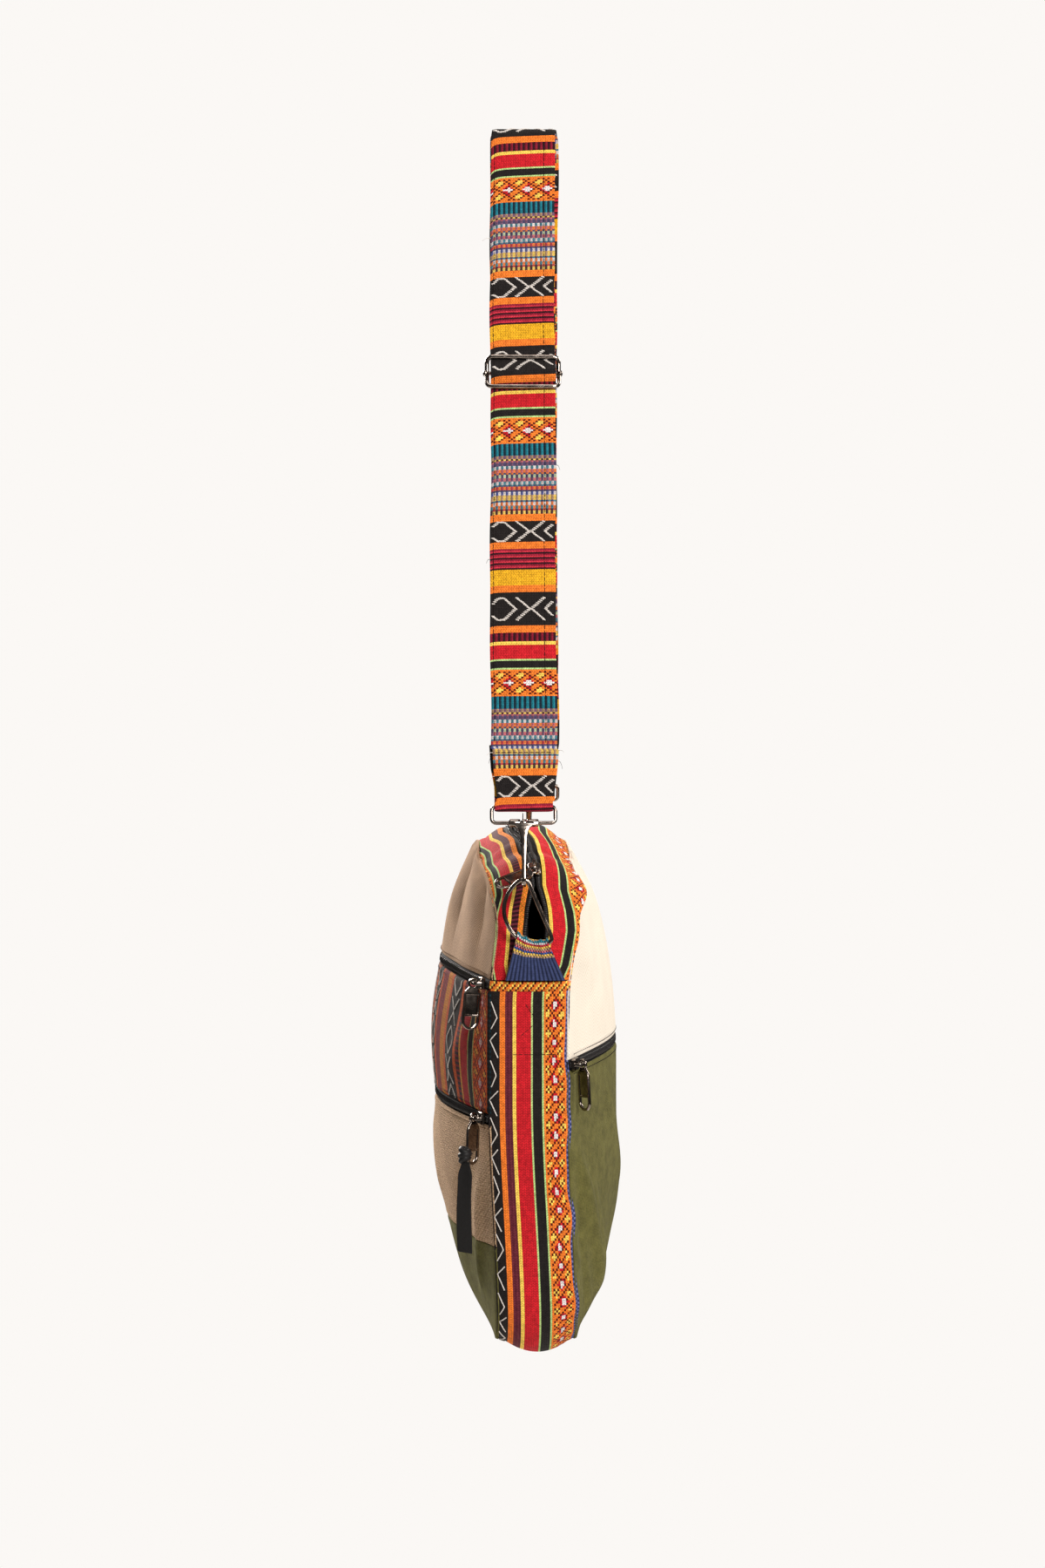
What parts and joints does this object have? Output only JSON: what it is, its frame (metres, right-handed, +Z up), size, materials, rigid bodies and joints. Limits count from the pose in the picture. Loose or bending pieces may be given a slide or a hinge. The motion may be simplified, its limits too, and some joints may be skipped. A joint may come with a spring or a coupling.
{
  "type": "crossbody bag",
  "caption": "Hanging crossbody bag of patched hemp and striped woven cloth, with a wide adjustable strap on swivel hooks, a zipped top and zipped pockets.",
  "frame": {"origin": "the underside of the strap's top fold, where the bag hangs", "axes": "+Z up along the hanging strap, +X along the bag towards the end seen in the picture, -Y out of the front panel"},
  "size_m": [0.2688, 0.1097, 0.7213],
  "materials": {
    "woven_cotton": "hand woven, striped in many colours, coarse ribs",
    "tan_hemp": "herringbone and burlap weave, dry and hairy",
    "cream_hemp": "fine herringbone weave, matt",
    "olive_canvas": "plain canvas, matt",
    "black_tape": "ribbed zip tape and ribbon, dull",
    "dark_lining": "plain cloth, matt black",
    "gunmetal": "dark plated, bright highlights"
  },
  "bodies": {
    "bag": {"gusset": "woven_cotton", "front_top_patch": "tan_hemp", "front_zip_upper": "black_tape", "front_mid_patch": "woven_cotton", "front_zip_lower": "black_tape", "front_low_patch": "tan_hemp", "front_base_patch": "olive_canvas", "back_top_patch": "cream_hemp", "back_zip": "black_tape", "back_base_patch": "olive_canvas", "top_strip_front": "woven_cotton", "top_strip_back": "woven_cotton", "main_zip_front": "black_tape", "main_zip_back": "black_tape", "lining": "dark_lining", "tab_near": "woven_cotton", "tab_far": "woven_cotton", "d_ring_near": "gunmetal", "d_ring_far": "gunmetal", "hook_near": "gunmetal", "hook_far": "gunmetal", "hook_loop_near": "gunmetal", "hook_loop_far": "gunmetal", "strap": "woven_cotton", "strap_slider": "gunmetal", "front_zip_upper_slider": "gunmetal", "front_zip_lower_slider": "gunmetal", "front_zip_lower_pull": "gunmetal", "back_zip_slider": "gunmetal", "ribbon": "black_tape", "main_zip_slider": "gunmetal", "main_zip_pull": "gunmetal"},
    "hook_gate_near": {"hook_gate_near": "gunmetal"},
    "hook_gate_far": {"hook_gate_far": "gunmetal"},
    "front_zip_upper_pull": {"front_zip_upper_pull": "gunmetal"},
    "back_zip_pull": {"back_zip_pull": "gunmetal"}
  },
  "joints": [
    {"name": "hook_gate_near_hinge", "type": "hinge", "parent": "bag", "child": "hook_gate_near", "pos_m": [0.12201, -0.00297, -0.40428], "axis": [0, -1, 0], "range_deg": [0, 10], "stiffness_Nm_per_rad": 0.02, "springref_deg": -5.73},
    {"name": "hook_gate_far_hinge", "type": "hinge", "parent": "bag", "child": "hook_gate_far", "pos_m": [-0.12201, 0.00857, -0.40428], "axis": [0, 1, 0], "range_deg": [0, 10], "stiffness_Nm_per_rad": 0.02, "springref_deg": -5.73},
    {"name": "front_zip_upper_pull_hinge", "type": "hinge", "parent": "bag", "child": "front_zip_upper_pull", "pos_m": [0.11718, -0.0315, -0.4963], "axis": [-0.9561, -0.2929, 0], "range_deg": [0, 110]},
    {"name": "back_zip_pull_hinge", "type": "hinge", "parent": "bag", "child": "back_zip_pull", "pos_m": [0.12044, 0.03105, -0.54271], "axis": [0.9396, -0.3423, 0], "range_deg": [0, 110]}
  ]
}
